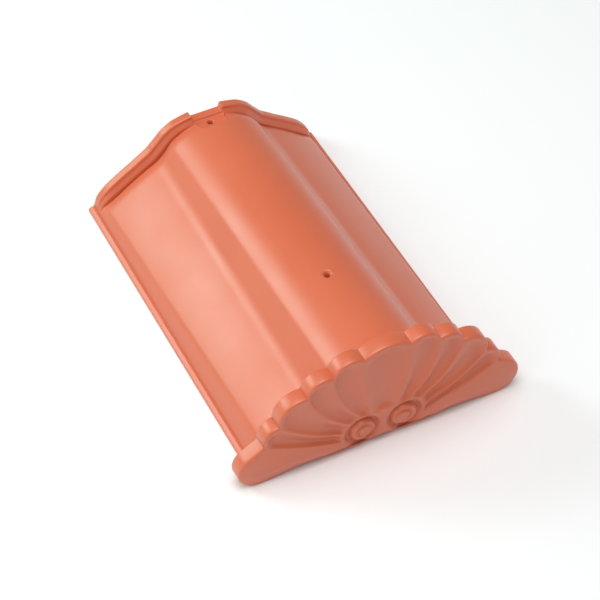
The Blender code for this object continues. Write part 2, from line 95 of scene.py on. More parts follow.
# %% Sizes of the shell plate
PLATE_WIDTH, PLATE_THICKNESS, PLATE_OVERLAP = 298.0, 16.0, 6.0
RIM_RADIUS, RIM_CENTRE_DROP = 138.0, 12.0
CUSP_ANGLES = (10.0, 23.8, 36.6, 52.6, 63.6)
LOBE_BULGE, CENTRE_LOBE_BULGE = 0.25, 0.16
EAR_RADIUS = 21.5
ARCH_HEIGHT, ARCH_START = 4.0, 42.0
BOTTOM_NOTCH, BOTTOM_NOTCH_REACH = 3.5, 11.0
EDGE_ROUNDING, BACK_ROUNDING = 3.0, 1.0
FLUTE_DEPTH, FLUTE_SHARE, FLUTE_START, FLUTE_END = 4.2, 0.24, 1.5, 13.0
FLUTE_LEAN, BAND_FULLNESS = 1.6, 0.06
RIM_LEAN, BOTTOM_EASE = 3.6, 16.0
CREASE_BOWS = (3.0, 7.0, 6.0, 4.0, 1.0)
BAND_BOW = -5.0
CREASE_SOFTNESS = 0.06
VOLUTE_SPACING, VOLUTE_HEIGHT, VOLUTE_RADIUS = 44.5, 26.0, 20.0
GROOVE_DEPTH, GROOVE_RADIUS, GROOVE_WIDTH = 4.2, 15.6, 2.6
BUTTON_RISE, BUTTON_RADIUS, BUTTON_EDGE = 1.6, 12.6, 3.0
SCROLL_DEPTH, SCROLL_PITCH, SCROLL_WIDTH, SCROLL_PHASE = 2.0, 8.5, 1.9, 0.65
SCROLL_START, SCROLL_FADE, FLUTE_FADE = 3.6, 2.4, 7.0
VOLUTE_FIRST_CREASE, VOLUTE_LAST_CREASE = -20.0, 124.0

# %% Small helpers


def smooth(value):
    """The smooth step: 0 below 0, 1 above 1, and 3t^2 - 2t^3 between them."""
    t = np.clip(value, 0.0, 1.0)
    return t * t * (3.0 - 2.0 * t)


def add_mesh(name, vertices, faces):
    """A mesh object from vertices in millimetres and faces of any number of corners."""
    mesh = bpy.data.meshes.new(name)
    mesh.from_pydata((np.asarray(vertices) * MM).tolist(), [], faces)
    mesh.validate()
    piece = bpy.data.objects.new(name, mesh)
    bpy.context.scene.collection.objects.link(piece)
    return piece


def close_up(piece, merge=0.002):
    """Merge vertices closer than a distance in millimetres and turn all the faces outward."""
    work = bmesh.new()
    work.from_mesh(piece.data)
    bmesh.ops.remove_doubles(work, verts=work.verts, dist=merge * MM)
    bmesh.ops.recalc_face_normals(work, faces=work.faces)
    open_edges = sum(not edge.is_manifold for edge in work.edges)
    work.to_mesh(piece.data)
    work.free()
    print(piece.name, "faces", len(piece.data.polygons), "open edges", open_edges)
    return piece


def grid_faces(rows, columns, closed=False):
    """Quads between the rows of a grid, each row closed into a ring if asked."""
    across = columns if closed else columns - 1
    row, column = np.meshgrid(np.arange(rows - 1), np.arange(across), indexing="ij")
    following = (column + 1) % columns
    quads = np.stack([
        row * columns + column,
        row * columns + following,
        (row + 1) * columns + following,
        (row + 1) * columns + column,
    ], axis=-1)
    return quads.reshape(-1, 4)


# %% [markdown]
# ## The vault's section
# A press die is drawn with arcs and straight runs that meet without a kink, so the half section is a
# chain of arcs: crown, edge, flank, valley, shoulder and side. It is worked out twice, at the head
# and at the eaves, and every section between is a straight blend of the two. A bevelled curve could
# carry it too, but arcs worked out here keep every radius and slope a named size.

# %% The half section as a chain of arcs
# Shares of the radius round the rib's end at the nail pad, where the crown is sampled closely.
CLOSE_FROM, CLOSE_TO, COARSE_FROM = 0.03, 0.035, 0.05
STRAIGHT_POINTS, SHOULDER_STEP = 13, 0.8


def arc(start, slope_from, slope_to, radius, step=2.5):
    """An arc from one downward slope to another: the normal of slope s is (sin s, cos s)."""
    count = max(2, round(abs(slope_to - slope_from) / step))
    slopes = np.radians(np.linspace(slope_from, slope_to, count + 1))
    normals = np.stack([np.sin(slopes), np.cos(slopes)], axis=1)
    side = 1.0 if slope_to > slope_from else -1.0
    return np.asarray(start) + side * radius * (normals - normals[0]), normals


def crown_arc(height, radius):
    """The crown's arc, sampled closely where the rib ends at the nail pad: slope = asin(x / R)."""
    edge = PAD_WIDTH / 2 / HEAD["radius"]
    shares = np.concatenate([
        np.linspace(0.0, edge - CLOSE_TO, 9),
        np.linspace(edge - CLOSE_FROM, edge + CLOSE_TO, 14),
        np.linspace(edge + COARSE_FROM, math.sin(math.radians(CROWN_EDGE_SLOPE)), 16),
    ])
    slopes = np.arcsin(shares)
    normals = np.stack([np.sin(slopes), np.cos(slopes)], axis=1)
    return np.array([0.0, height]) + radius * (normals - normals[0]), normals


def straight(start, slope, length):
    """The far end of a run that falls at a slope."""
    angle = math.radians(slope)
    return np.asarray(start) + length * np.array([math.cos(angle), -math.sin(angle)])


def half_section(width, crown, radius, flank):
    """The outer half section and its normals; shoulder radius and side length are solved for."""
    top, top_n = crown_arc(crown, radius)
    edge, edge_n = arc(top[-1], CROWN_EDGE_SLOPE, FLANK_SLOPE, CROWN_EDGE_RADIUS)
    flank_end = straight(edge[-1], FLANK_SLOPE, flank)
    run = edge[-1] + (flank_end - edge[-1]) * np.linspace(0.0, 1.0, STRAIGHT_POINTS)[1:-1, None]
    valley, valley_n = arc(flank_end, FLANK_SLOPE, SHOULDER_START_SLOPE, VALLEY_RADIUS)
    unit, unit_n = arc((0.0, 0.0), SHOULDER_START_SLOPE, SHOULDER_END_SLOPE, 1.0, SHOULDER_STEP)
    turn, turn_n = arc((0.0, 0.0), SHOULDER_END_SLOPE, SIDE_SLOPE, SHOULDER_EDGE_RADIUS)
    foot = np.array([width / 2 - FLANGE_REACH, FLANGE_HEIGHT])
    side = straight((0.0, 0.0), SIDE_SLOPE, 1.0)
    gap = foot - valley[-1] - turn[-1]
    shoulder_radius, side_length = np.linalg.solve(np.stack([unit[-1], side], axis=1), gap)
    shoulder = valley[-1] + shoulder_radius * unit
    turn = shoulder[-1] + turn
    wall = turn[-1] + np.outer(np.linspace(0.0, side_length, STRAIGHT_POINTS)[1:], side)
    points = np.vstack([top, edge[1:], run, valley, shoulder[1:], turn[1:], wall])
    normals = np.vstack([
        top_n, edge_n[1:], np.repeat(edge_n[-1:], len(run), axis=0), valley_n,
        unit_n[1:], turn_n[1:], np.repeat(turn_n[-1:], len(wall), axis=0),
    ])
    return points, normals


head_section = half_section(*HEAD.values())
eaves_section = half_section(*EAVES.values())
print("half section points", len(head_section[0]))

# %% [markdown]
# ## The head's profile
# Along the tile the body ends in a soft bevel, drops into a narrow channel and climbs the rib in two
# steps. The profile is a polyline of three numbers (distance from the head end, offset from the body,
# share of the rib's rise) with each corner rounded by a small quadratic curve. Loop cuts and bevels
# could shape it by hand, but then no depth would have a name that can be changed.

# %% The profile with rounded corners
# A rounded corner takes at most this share of the run on either side of it.
CORNER_LIMIT = 0.48


def round_corners(points, radii, steps=5):
    """Each inner corner becomes a quadratic curve that starts and ends a radius away from it."""
    rounded = [points[0]]
    for before, corner, after, radius in zip(points, points[1:], points[2:], radii):
        back = (before - corner) / np.linalg.norm(before - corner)
        on = (after - corner) / np.linalg.norm(after - corner)
        a = corner + back * min(radius, CORNER_LIMIT * np.linalg.norm(before - corner))
        b = corner + on * min(radius, CORNER_LIMIT * np.linalg.norm(after - corner))
        for t in np.linspace(0.0, 1.0, steps + 1):
            rounded.append((1 - t) ** 2 * a + 2 * t * (1 - t) * corner + t * t * b)
    rounded.append(points[-1])
    return np.array(rounded)


def refine(points, longest):
    """More points on each straight run, none further apart than the longest step."""
    dense = [points[:1]]
    for a, b in zip(points, points[1:]):
        count = max(1, math.ceil(np.linalg.norm(b - a) / longest))
        dense.append(a + (b - a) * np.linspace(0.0, 1.0, count + 1)[1:, None])
    return np.vstack(dense)


PROFILE_START, END_EDGE, END_DROP = 38.0, 0.05, 2.4
CORNER_RADII = (5.0, 1.3, 0.8, 0.8, 1.0, 1.0, 1.8, 1.6)
PROFILE_STEP, BODY_ROWS = 0.7, 30
BEVEL_END = BEVEL_START - BEVEL_WIDTH
UPPER_WALL = CHANNEL_END - LEDGE_WIDTH
corners = np.array([
    (PROFILE_START, 0.0, 0.0),
    (BEVEL_START, 0.0, 0.0),
    (BEVEL_END, -BEVEL_DEPTH, 0.0),
    (BEVEL_END - RIB_DRAFT, -CHANNEL_DEPTH, 0.0),
    (CHANNEL_END + RIB_DRAFT, -CHANNEL_DEPTH, 0.0),
    (CHANNEL_END, -LEDGE_DROP - LEDGE_LEAN, 1.0),
    (UPPER_WALL + RIB_DRAFT, -LEDGE_DROP + LEDGE_LEAN, 1.0),
    (UPPER_WALL, 0.0, 1.0),
    (END_EDGE, 0.0, 1.0),
    (0.0, -END_DROP, 1.0),
])
profile = refine(round_corners(corners, CORNER_RADII), PROFILE_STEP)
body_start = LENGTH - (PLATE_THICKNESS - PLATE_OVERLAP)
body_run = np.linspace(body_start, PROFILE_START + 1.0, BODY_ROWS)
stations = np.vstack([np.column_stack([body_run, 0 * body_run, 0 * body_run]), profile])
print("stations", len(stations))

# %% [markdown]
# ## The nail pad
# The rib is interrupted by a flat pad with a low lip behind it. It is not a separate shape: inside a
# rounded rectangle the vault's height eases to the pad's level, as a die insert would press it. A
# Boolean could cut it as well, but would leave ragged triangles on the crown's smooth shading.

# %% The pad's place and level
PAD_DRAFT, LIP_RAMP, LIP_ROUNDING = 1.6, 1.2, 1.6


def pad_share(x, y):
    """1 inside the pad's rounded rectangle, 0 outside, from the signed distance to its edge."""
    front = LENGTH - PAD_FRONT
    dx = np.abs(x) - (PAD_WIDTH / 2 - PAD_CORNER)
    dy = (front + PAD_CORNER) - y
    outside = np.hypot(np.maximum(dx, 0.0), np.maximum(dy, 0.0))
    distance = outside + np.minimum(np.maximum(dx, dy), 0.0) - PAD_CORNER
    return 1.0 - smooth((distance + PAD_DRAFT / 2) / PAD_DRAFT)


def pad_level(y):
    """The pad's height, a small step up to the lip and the lip's rounded back edge."""
    on_lip = smooth((y - (LENGTH - LIP_DEPTH)) / LIP_RAMP + 0.5)
    level = HEAD["crown"] - PAD_SINK + LIP_STEP * on_lip
    return level - LIP_ROUNDING * smooth((y - (LENGTH - LIP_ROUNDING)) / LIP_ROUNDING) ** 2


# %% [markdown]
# ## The vault as a grid
# One index runs along the tile, the other round the section: outside, foot flange and underside. The
# two ends are closed with strips, so the vault is a watertight solid of its own. A Solidify modifier
# could give the wall, but not the thicker one under the head or the foot flange's own shape.

# %% Vault


def vault_rings():
    """All rings at once: blend of the two sections, moved out along the normals by the profile."""
    back, offset, rib = (column[:, None] for column in stations.T)
    y = LENGTH - back
    share = (1.0 - y / LENGTH)[..., None]
    points = head_section[0] + (eaves_section[0] - head_section[0]) * share
    normals = head_section[1] + (eaves_section[1] - head_section[1]) * share
    crown = HEAD["crown"] + (EAVES["crown"] - HEAD["crown"]) * share[..., 0]
    foot_x = (HEAD["width"] + (EAVES["width"] - HEAD["width"]) * share[..., 0]) / 2
    fade = smooth((points[..., 1] - FLANGE_HEIGHT) / RIB_FADE_HEIGHT)
    rise = np.interp(points[..., 1] / crown, RIB_RISE_SHARES, RIB_RISES)
    outward = (offset + rib * rise) * fade
    outside = points + normals * outward[..., None]
    step = INNER_STEP * smooth((INNER_STEP_START - back) / (INNER_STEP_START - INNER_STEP_END))
    inside = points - normals * (WALL + step * fade)[..., None]
    on_pad = pad_share(outside[..., 0], y)
    outside[..., 1] += (pad_level(y) - outside[..., 1]) * on_pad
    reach = foot_x - FLANGE_REACH
    flange_x = np.concatenate([reach + np.array(GROOVE_X), foot_x + np.array(FLANGE_X)], axis=1)
    flange_z = FLANGE_HEIGHT + np.array(GROOVE_Z + FLANGE_Z)
    flange = np.stack([flange_x, np.broadcast_to(flange_z, flange_x.shape)], axis=-1)
    inner_foot = inside[:, -1:] * np.array([1.0, 0.0])
    half = np.concatenate([outside, flange, inner_foot, inside[:, ::-1]], axis=1)
    half[:, 0, 0] = 0.0
    half[:, -1, 0] = 0.0
    other = half[:, -2:0:-1] * np.array([-1.0, 1.0])
    ring = np.concatenate([half, other], axis=1)
    return np.stack([ring[..., 0], np.broadcast_to(y, ring.shape[:2]), ring[..., 1]], axis=-1)


def end_cap(start, half_count, outer_count, ring_count, flip):
    """Strips between the outer and the inner curve of one end, and a polygon at each foot."""
    k = np.arange(outer_count - 1)
    right = np.stack([k, k + 1, half_count - 2 - k, half_count - 1 - k], axis=1)
    left = (ring_count - right) % ring_count
    faces = (start + right).tolist() + (start + left[:, ::-1]).tolist()
    foot = list(range(outer_count - 1, half_count - outer_count + 1))
    mirrored = [(ring_count - i) % ring_count for i in foot][::-1]
    faces += [[start + i for i in foot], [start + i for i in mirrored]]
    return [face[::-1] for face in faces] if flip else faces


rings = vault_rings()
outer_count = len(head_section[0])
ring_count = rings.shape[1]
half_count = ring_count // 2 + 1
vault_faces = grid_faces(len(rings), ring_count, closed=True)[:, ::-1].tolist()
vault_faces += end_cap(0, half_count, outer_count, ring_count, True)
vault_faces += end_cap((len(rings) - 1) * ring_count, half_count, outer_count, ring_count, False)
vault = close_up(add_mesh("vault", rings.reshape(-1, 3), vault_faces))

# %% [markdown]
# ## The shell plate
# The plate is a fan: every column runs from a point of the scalloped outline to a point of the
# volutes' outline, and bows a little, as the carved creases do. Each petal is a hollow flute between
# two creases. It starts inside the rim, ends before the volutes and dies away towards the plate's
# lower edge. It could be sculpted, but a fan of columns puts an edge of the mesh on every crease.

# %% The plate's outline and columns
PER_LOBE, PER_RUN, PER_EAR, PER_ARCH, OVER_AXIS = 26, 8, 26, 34, 34


def bulge_arc(start, end, bulge, steps):
    """A circular arc over a chord, whose height is bulge times the chord, to the chord's left."""
    start, end = np.asarray(start, float), np.asarray(end, float)
    chord = end - start
    length = np.hypot(*chord)
    height = bulge * length
    radius = (length * length / 4 + height * height) / (2 * height)
    half_angle = math.asin(length / 2 / radius)
    along = chord / length
    left = np.array([-along[1], along[0]])
    centre = (start + end) / 2 + left * (height - radius)
    angles = np.linspace(-half_angle, half_angle, steps + 1)
    return centre + radius * (np.outer(np.sin(angles), along) + np.outer(np.cos(angles), left))


def circle(centre, radius, angle_from, angle_to, steps):
    """Points on a circle between two angles in degrees."""
    angles = np.radians(np.linspace(angle_from, angle_to, steps + 1))
    return np.asarray(centre) + radius * np.stack([np.cos(angles), np.sin(angles)], axis=1)


cusp_angles = np.radians(CUSP_ANGLES)
cusps = RIM_RADIUS * np.stack([np.sin(cusp_angles), np.cos(cusp_angles)], axis=1)
cusps -= [0.0, RIM_CENTRE_DROP]
ear_centre = np.array([PLATE_WIDTH / 2 - EAR_RADIUS, EAR_RADIUS])
volute_centre = np.array([VOLUTE_SPACING / 2, VOLUTE_HEIGHT])


def ear_outline():
    """A straight run from the last cusp, tangent to the ear's circle, then round to the floor."""
    to_cusp = cusps[-1] - ear_centre
    to_tangent = math.acos(min(1.0, EAR_RADIUS / np.hypot(*to_cusp)))
    angle = math.atan2(to_cusp[1], to_cusp[0]) - to_tangent
    ear = circle(ear_centre, EAR_RADIUS, math.degrees(angle), -90.0, PER_EAR)
    run = cusps[-1] + (ear[0] - cusps[-1]) * np.linspace(0.0, 1.0, PER_RUN + 1)[:-1, None]
    return np.vstack([run, ear])


def bottom_outline():
    """The lower edge: a low arch from ear to volute, the volute's flat and the middle notch."""
    arch_x = np.linspace(ear_centre[0], ARCH_START, PER_ARCH + 1)
    share = (arch_x - ARCH_START) / (ear_centre[0] - ARCH_START)
    arch = np.stack([arch_x, ARCH_HEIGHT * np.sin(math.pi * share) ** 2], axis=1)
    notch_x = np.linspace(ARCH_START, 0.0, OVER_AXIS + 1)
    notch = np.stack([notch_x, BOTTOM_NOTCH * smooth(1.0 - notch_x / BOTTOM_NOTCH_REACH)], axis=1)
    return arch, notch


def plate_columns():
    """Outline, inner outline, bow, place across the petal, its two widths and whether it is band."""
    arrivals = np.linspace(VOLUTE_LAST_CREASE, VOLUTE_FIRST_CREASE, len(cusps))
    first = circle(volute_centre, VOLUTE_RADIUS, arrivals[0], arrivals[0], 1)[0]
    half = OVER_AXIS - PER_LOBE
    outline, inner, bow, across, widths = [], [], [], [], []
    middle = bulge_arc(cusps[0] * [-1, 1], cusps[0], CENTRE_LOBE_BULGE, 2 * half)[half:]
    outline.append(middle)
    inner.append(np.stack([np.linspace(0.0, first[0], half + 1),
                           np.linspace(VOLUTE_HEIGHT + VOLUTE_RADIUS, first[1], half + 1)], axis=1))
    share = np.linspace(0.0, 1.0, half + 1)
    bow.append(CREASE_BOWS[0] * share)
    across.append(0.5 + 0.5 * share)
    widths.append(np.tile([2 * cusps[0][0], 2 * first[0]], (half + 1, 1)))
    for k in range(len(cusps) - 1):
        lobe = bulge_arc(cusps[k], cusps[k + 1], LOBE_BULGE, PER_LOBE)
        ring = circle(volute_centre, VOLUTE_RADIUS, arrivals[k], arrivals[k + 1], PER_LOBE)
        share = np.linspace(0.0, 1.0, PER_LOBE + 1)[1:]
        outline.append(lobe[1:])
        inner.append(ring[1:])
        bow.append(CREASE_BOWS[k] + (CREASE_BOWS[k + 1] - CREASE_BOWS[k]) * share)
        across.append(share ** FLUTE_LEAN)
        pair = [np.hypot(*(lobe[-1] - lobe[0])), np.hypot(*(ring[-1] - ring[0]))]
        widths.append(np.tile(pair, (PER_LOBE, 1)))
    petals = sum(len(part) for part in outline)
    arch, notch = bottom_outline()
    band = np.vstack([ear_outline()[1:], arch[1:], notch[1:]])
    ring = circle(volute_centre, VOLUTE_RADIUS, VOLUTE_FIRST_CREASE, -90.0, len(band) - OVER_AXIS)
    flat = np.stack([np.linspace(VOLUTE_SPACING / 2, 0.0, OVER_AXIS + 1),
                     np.full(OVER_AXIS + 1, VOLUTE_HEIGHT - VOLUTE_RADIUS)], axis=1)
    outline.append(band)
    inner.append(np.vstack([ring[1:], flat[1:]]))
    count = np.arange(1, len(band) + 1)
    past_ear = PER_RUN + PER_EAR
    bow.append(CREASE_BOWS[-1] + (BAND_BOW - CREASE_BOWS[-1]) * smooth(count / past_ear))
    across.append(0.5 * np.minimum(1.0, count / (past_ear + PER_ARCH // 2)))
    widths.append(np.tile([2 * EAR_RADIUS, VOLUTE_HEIGHT], (len(band), 1)))
    columns = [np.concatenate(parts) for parts in (outline, inner, bow, across, widths)]
    return *columns, np.arange(len(columns[0])) >= petals


def lower_edge():
    """The lower edge of the half plate from its middle to the ear's farthest point."""
    arch, notch = bottom_outline()
    ear = circle(ear_centre, EAR_RADIUS, -90.0, 0.0, PER_EAR)
    return np.vstack([notch[::-1], arch[-2::-1], ear[1:]])


# %% [markdown]
# Each volute is a raised button in a ring groove, with a scroll cut into it: a groove whose radius
# grows by one pitch in every turn, and which starts near the middle and fades before the rim.

# %% The relief
FRONT_RINGS, VOLUTE_RINGS = 40, 30
LEAN_REACH, LEVEL_REACH = 0.7, 0.25


def volute_height(x, z):
    """Button minus ring groove minus scroll; a groove is a bell curve of the distance to it."""
    dx = np.abs(x) - VOLUTE_SPACING / 2
    dz = z - VOLUTE_HEIGHT
    radius = np.hypot(dx, dz)
    turn = np.arctan2(dz, dx) / (2 * math.pi)
    button = BUTTON_RISE * (1.0 - smooth((radius - BUTTON_RADIUS) / BUTTON_EDGE + 0.5))
    ring = GROOVE_DEPTH * np.exp(-((radius - GROOVE_RADIUS) / GROOVE_WIDTH) ** 2)
    laps = radius / SCROLL_PITCH - turn - SCROLL_PHASE
    to_line = SCROLL_PITCH * (laps - np.round(laps))
    begun = smooth((radius - SCROLL_START) / SCROLL_FADE)
    ended = smooth((radius - BUTTON_RADIUS) / SCROLL_FADE)
    scroll = SCROLL_DEPTH * np.exp(-(to_line / SCROLL_WIDTH) ** 2) * (begun * (1.0 - ended))
    return button - ring - scroll


def plate_rings():
    """Rings of the half plate: back outline, rim, front edge, petals and volutes."""
    outline, inner, bow, across, widths, is_band = plate_columns()
    path = inner - outline
    length = np.hypot(path[:, 0], path[:, 1])
    left = np.stack([-path[:, 1], path[:, 0]], axis=1) / length[:, None]
    bottom = lower_edge()
    wave = 4 * across * (1 - across)
    soft = np.hypot(wave, CREASE_SOFTNESS) - CREASE_SOFTNESS
    wave = soft / (math.hypot(1.0, CREASE_SOFTNESS) - CREASE_SOFTNESS)

    def flat_point(v):
        return outline + v[:, None] * path + (4 * v * (1 - v) * bow)[:, None] * left

    def height(v, flat):
        width = widths[:, 0] * (1 - v) + widths[:, 1] * v
        flute = -np.minimum(FLUTE_DEPTH, FLUTE_SHARE * width)
        inward = smooth((v * length - FLUTE_START) / (FLUTE_END - FLUTE_START))
        inward = inward * smooth((1 - v) * length / FLUTE_FADE)
        petal = np.where(is_band, BAND_FULLNESS * width, flute) * wave * inward
        lean = RIM_LEAN * smooth(v / LEAN_REACH)
        above = flat[:, 1] - np.interp(flat[:, 0], bottom[:, 0], bottom[:, 1])
        return (petal + lean) * smooth(above / BOTTOM_EASE)

    def ring(v, y):
        flat = flat_point(v)
        return np.column_stack([flat[:, 0], y - height(v, flat), flat[:, 1]])

    edge = EDGE_ROUNDING / length
    back = BACK_ROUNDING / length
    rings = []
    for angle in np.radians((90.0, 60.0, 30.0, 0.0)):
        flat = flat_point(back * (1 - math.cos(angle)))
        y = PLATE_THICKNESS - BACK_ROUNDING * (1 - math.sin(angle))
        rings.append(np.column_stack([flat[:, 0], np.full(len(flat), y), flat[:, 1]]))
    for angle in np.radians(np.linspace(0.0, 90.0, 8)):
        rings.append(ring(edge * (1 - math.cos(angle)), EDGE_ROUNDING * (1 - math.sin(angle))))
    for share in np.linspace(0.0, 1.0, FRONT_RINGS + 1)[1:]:
        rings.append(ring(edge + (1 - edge) * share, 0.0))
    ones = np.ones(len(outline))
    rim_height = height(ones, inner)
    axis_x = np.full(len(inner), VOLUTE_SPACING / 2)
    axis_x[:OVER_AXIS + 1] = np.linspace(0.0, VOLUTE_SPACING / 2, OVER_AXIS + 1)
    axis_x[-OVER_AXIS - 1:] = axis_x[OVER_AXIS::-1]
    axis = np.column_stack([axis_x, np.full(len(inner), VOLUTE_HEIGHT)])
    for share in np.linspace(0.0, 1.0, VOLUTE_RINGS + 1)[1:]:
        flat = inner + (axis - inner) * share
        levelled = smooth(share / LEVEL_REACH)
        base = rim_height * (1 - levelled) + RIM_LEAN * levelled
        relief = volute_height(flat[:, 0], flat[:, 1])
        rings.append(np.column_stack([flat[:, 0], -base - relief, flat[:, 1]]))
    return np.array(rings)


half_plate = plate_rings()
half_plate[:, 0, 0] = 0.0
half_plate[:, -1, 0] = 0.0
print("half plate", half_plate.shape, "front", half_plate[..., 1].min().round(2))

# %% [markdown]
# Both halves share the middle column, and the flat back is one polygon. Merging the doubles closes
# the line between the two volutes, where the rings end.

# %% Shell plate


def closed_plate(half):
    """Both halves of the plate and its back, with the doubles merged and the normals facing out."""
    rows, columns = half.shape[:2]
    mirrored = half * [-1.0, 1.0, 1.0]
    faces = grid_faces(rows, columns)
    both = np.vstack([half.reshape(-1, 3), mirrored.reshape(-1, 3)])
    back = list(range(columns))
    other = [rows * columns + i for i in range(columns - 2, 0, -1)]
    all_faces = faces.tolist() + (faces[:, ::-1] + rows * columns).tolist() + [back + other]
    return close_up(add_mesh("shell plate", both, all_faces))


plate = closed_plate(half_plate)

# %% [markdown]
# ## Nail holes
# A nail hole is turned: a profile of radius against depth, spun round the nail's line. Its mouth
# opens a little, where the die's pin left a soft edge. The turned shape is cut out as a Boolean, so
# that the vault's own grid need not bend round the hole.

# %% Nail hole cutters
CUT_ABOVE, CUT_BELOW, MOUTH_CURVE = 8.0, 3 * WALL, 1.3


def hole_cutter(name, y, surface, mouth_width, mouth_depth, sides=64):
    """A solid of revolution: (radius, height) pairs from above the surface to below the wall."""
    r, sink = NAIL_HOLE / 2, mouth_width / 2
    t = np.linspace(0.0, 1.0, 8)
    mouth = np.stack([sink + (r - sink) * t, -mouth_depth * t ** MOUTH_CURVE], axis=1)
    line = np.vstack([[(sink, CUT_ABOVE)], mouth, [(r, -CUT_BELOW)]])
    angles = np.linspace(0.0, 2 * math.pi, sides, endpoint=False)
    x = line[:, :1] * np.cos(angles)
    dy = line[:, :1] * np.sin(angles)
    z = np.repeat(surface + line[:, 1:], sides, axis=1)
    points = np.stack([x, y + dy, z], axis=-1).reshape(-1, 3)
    faces = grid_faces(len(line), sides, closed=True)[:, ::-1].tolist()
    last = (len(line) - 1) * sides
    faces += [list(range(sides)), list(range(last + sides - 1, last - 1, -1))]
    return add_mesh(name, points, faces)


crown_share = 1.0 - CROWN_HOLE_FROM_EAVES / LENGTH
crown_at_hole = HEAD["crown"] + (EAVES["crown"] - HEAD["crown"]) * crown_share
pad_y, pad_at_hole = LENGTH - PAD_HOLE_SETBACK, HEAD["crown"] - PAD_SINK
crown_mouth = (CROWN_SINK_WIDTH, CROWN_SINK_DEPTH)
cutters = [
    hole_cutter("pad hole", pad_y, pad_at_hole, PAD_SINK_WIDTH, PAD_SINK_DEPTH),
    hole_cutter("crown hole", CROWN_HOLE_FROM_EAVES, crown_at_hole, *crown_mouth),
]
print("cutters", [cutter.name for cutter in cutters])

# %% [markdown]
# ## One piece of clay
# The vault and the plate are pressed as one, so they are joined into one skin and drilled. Two
# overlapping pieces would look alike from outside, but would not be one closed mesh. The result is
# copied out of the modifiers, moved to the solid's place and shaded smooth, up to a sharp angle.

# %% Join, drill and place


def join(base, operations):
    """The mesh of a base object after a list of (operation, other object) Booleans."""
    for operation, other in operations:
        step = base.modifiers.new(operation.lower() + " " + other.name, "BOOLEAN")
        step.operation = operation
        step.object = other
        step.solver = "MANIFOLD"
    ready = base.evaluated_get(bpy.context.evaluated_depsgraph_get())
    return bpy.data.meshes.new_from_object(ready)


SHARP_ANGLE = 56.0
mesh = join(vault, [("UNION", plate)] + [("DIFFERENCE", cutter) for cutter in cutters])
mesh.name = "hip starter tile clay"
mesh.materials.clear()
for used in [vault, plate] + cutters:
    bpy.data.objects.remove(used, do_unlink=True)

vertices = np.empty(3 * len(mesh.vertices))
mesh.vertices.foreach_get("co", vertices)
vertices = vertices.reshape(-1, 3)
vertices[:, 1] += cad_box[1][1] - vertices[:, 1].max()
mesh.vertices.foreach_set("co", vertices.ravel())
mesh.shade_smooth()
mesh.set_sharp_from_angle(angle=math.radians(SHARP_ANGLE))
tile = bpy.data.objects.new("clay_tile", mesh)
bpy.context.scene.collection.objects.link(tile)
corners_per_face = np.empty(len(mesh.polygons), dtype=np.int32)
mesh.polygons.foreach_get("loop_total", corners_per_face)
print("tile", len(mesh.vertices), "triangles", int((corners_per_face - 2).sum()))

# %% [markdown]
# ## The clay
# Terracotta is an iron-rich clay fired at about 1000 degrees. The weather side is coated with an
# engobe, a thin slip of finer clay, which gives an even colour and a satin sheen. The underside is
# left bare: paler, dry and slightly gritty.

# %% Colour and node helpers


def linear(hex_colour):
    """An sRGB hex colour as linear RGBA: ((c + 0.055) / 1.055) ^ 2.4 above the small linear toe."""
    channels = [int(hex_colour[i:i + 2], 16) / 255 for i in (1, 3, 5)]
    toed = [c / 12.92 if c <= 0.04045 else ((c + 0.055) / 1.055) ** 2.4 for c in channels]
    return (*toed, 1.0)


def connect(tree, node, links):
    """Links into a node, each given as (input, other node, output)."""
    for socket, source, output in links:
        tree.links.new(source.outputs[output], node.inputs[socket])


def add_node(tree, kind, links=(), values=(), **settings):
    """A node with its settings, its links and its (input, value) pairs."""
    node = tree.nodes.new(kind)
    for key, value in settings.items():
        setattr(node, key, value)
    for socket, value in values:
        node.inputs[socket].default_value = value
    connect(tree, node, links)
    return node


def new_material(name, **sockets):
    """A Principled material with constants on the shader's own sockets."""
    material = bpy.data.materials.new(name)
    material.use_nodes = True
    shader = material.node_tree.nodes["Principled BSDF"]
    for socket, value in sockets.items():
        shader.inputs[socket.replace("_", " ")].default_value = value
    return material, material.node_tree, shader


# %% Engobe of the weather side
# A satin slip: it spreads a highlight into a soft glow, and its colour drifts a little with the fire.
CLOUD_MM, SPECK_MM, GRAIN_MM = 70.0, 2.2, 0.9
SATIN_LOW, SATIN_HIGH = 0.36, 0.44
GRAIN_STRENGTH, GRAIN_RISE_MM = 0.25, 0.08
engobe, tree, shader = new_material(
    "satin terracotta engobe", Roughness=SATIN_LOW, IOR=1.5, Specular_IOR_Level=0.8,
    Sheen_Weight=0.1)
place = add_node(tree, "ShaderNodeTexCoord")
cloud = add_node(tree, "ShaderNodeTexNoise", [("Vector", place, "Object")],
                 [("Scale", 1.0 / (CLOUD_MM * MM)), ("Detail", 3.0)])
speck = add_node(tree, "ShaderNodeTexNoise", [("Vector", place, "Object")],
                 [("Scale", 1.0 / (SPECK_MM * MM)), ("Detail", 2.0)])
grain = add_node(tree, "ShaderNodeTexNoise", [("Vector", place, "Object")],
                 [("Scale", 1.0 / (GRAIN_MM * MM)), ("Detail", 3.0)])
tone = add_node(tree, "ShaderNodeMix", [("Factor", cloud, "Fac")],
                [("A", linear("#CE603A")), ("B", linear("#D66841"))], data_type="RGBA")
spots = add_node(tree, "ShaderNodeMapRange", [("Value", speck, "Fac")],
                 [("From Min", 0.60), ("From Max", 0.78), ("To Min", 0.0), ("To Max", 0.10)])
speckled = add_node(tree, "ShaderNodeMix", [("Factor", spots, "Result"), ("A", tone, "Result")],
                    [("B", linear("#A8482F"))], data_type="RGBA")
satin = add_node(tree, "ShaderNodeMapRange", [("Value", cloud, "Fac")],
                 [("From Min", 0.3), ("From Max", 0.7), ("To Min", SATIN_LOW),
                  ("To Max", SATIN_HIGH)])
